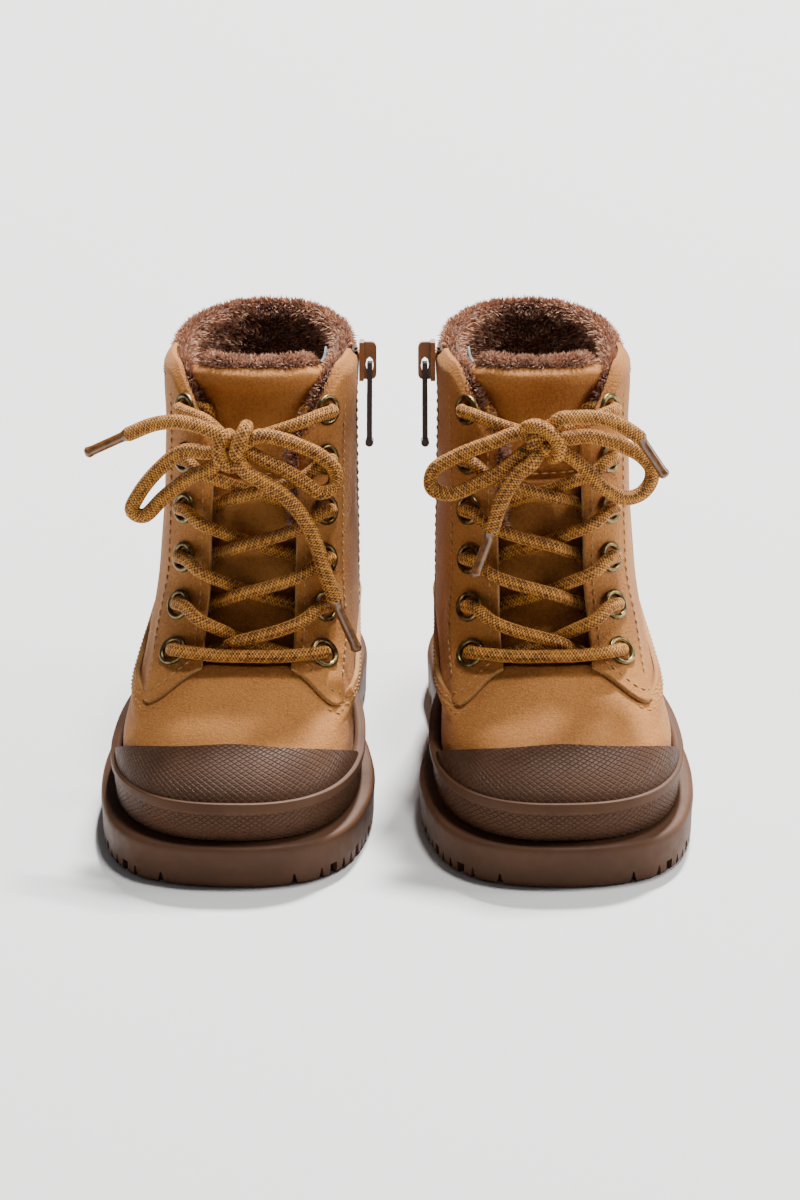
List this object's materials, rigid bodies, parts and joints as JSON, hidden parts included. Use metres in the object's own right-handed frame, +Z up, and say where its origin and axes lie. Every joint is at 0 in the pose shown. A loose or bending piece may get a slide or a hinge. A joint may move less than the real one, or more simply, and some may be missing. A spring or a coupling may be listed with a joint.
{
  "type": "winter boots",
  "caption": "Pair of children's pile-lined lace-up winter boots with lug soles, rubber toe caps and inner side zips.",
  "frame": {"origin": "middle of the pair on the ground", "axes": "+Z up, toes towards -Y, the wearer's left boot towards +X"},
  "size_m": [0.1906, 0.1918, 0.1378],
  "materials": {
    "nubuck": "napped nubuck, matt",
    "sole_rubber": "moulded, satin",
    "pile": "fluffy pile",
    "lace": "round braid",
    "eyelet_brass": "antique",
    "slider_enamel": "enamelled",
    "pull_plastic": "moulded",
    "aglet_film": "clear film",
    "board": "pressed fibre",
    "zip_tape": "woven"
  },
  "bodies": {
    "right_boot": {"right_outsole": "sole_rubber", "right_rand": "sole_rubber", "right_toe_cap": "sole_rubber", "right_vamp": "nubuck", "right_heel_counter": "nubuck", "right_lateral_quarter": "nubuck", "right_medial_quarter": "nubuck", "right_rear_medial_quarter": "nubuck", "right_lateral_eyelets": "eyelet_brass", "right_medial_eyelets": "eyelet_brass", "right_lining": "pile", "right_tongue": "nubuck", "right_tongue_lining": "pile", "right_insole_board": "board", "right_footbed": "pile", "right_zip_chain": "zip_tape", "right_lace_lateral": "lace", "right_lace_medial": "lace", "right_bow_knot": "lace", "right_bow_loop_lateral": "lace", "right_bow_loop_medial": "lace", "right_lace_end_lateral": "lace", "right_lace_end_medial": "lace", "right_aglet_lateral": "aglet_film", "right_aglet_medial": "aglet_film"},
    "right_slider": {"right_zip_slider": "slider_enamel"},
    "right_pull": {"right_zip_pull": "pull_plastic"},
    "left_boot": {"left_outsole": "sole_rubber", "left_rand": "sole_rubber", "left_toe_cap": "sole_rubber", "left_vamp": "nubuck", "left_heel_counter": "nubuck", "left_lateral_quarter": "nubuck", "left_medial_quarter": "nubuck", "left_rear_medial_quarter": "nubuck", "left_lateral_eyelets": "eyelet_brass", "left_medial_eyelets": "eyelet_brass", "left_lining": "pile", "left_tongue": "nubuck", "left_tongue_lining": "pile", "left_insole_board": "board", "left_footbed": "pile", "left_zip_chain": "zip_tape", "left_lace_lateral": "lace", "left_lace_medial": "lace", "left_bow_knot": "lace", "left_bow_loop_lateral": "lace", "left_bow_loop_medial": "lace", "left_lace_end_lateral": "lace", "left_lace_end_medial": "lace", "left_aglet_lateral": "aglet_film", "left_aglet_medial": "aglet_film"},
    "left_slider": {"left_zip_slider": "slider_enamel"},
    "left_pull": {"left_zip_pull": "pull_plastic"}
  },
  "joints": [
    {"name": "left_boot_lift", "type": "slide", "parent": "right_boot", "child": "left_boot", "axis": [0, 0, 1], "range_m": [0, 0.2]},
    {"name": "right_zip", "type": "slide", "parent": "right_boot", "child": "right_slider", "axis": [-0.0013, -0.1923, -0.9813], "range_m": [0, 0.07]},
    {"name": "right_zip_pull_swing", "type": "hinge", "parent": "right_slider", "child": "right_pull", "pos_m": [-0.00882, 0.02936, 0.12594], "axis": [-0.0213, -0.9811, 0.1923], "range_deg": [0, 18]},
    {"name": "left_zip", "type": "slide", "parent": "left_boot", "child": "left_slider", "axis": [0.0013, -0.1923, -0.9813], "range_m": [0, 0.07]},
    {"name": "left_zip_pull_swing", "type": "hinge", "parent": "left_slider", "child": "left_pull", "pos_m": [0.00882, 0.02936, 0.12594], "axis": [-0.0213, 0.9811, -0.1923], "range_deg": [0, 18]}
  ]
}
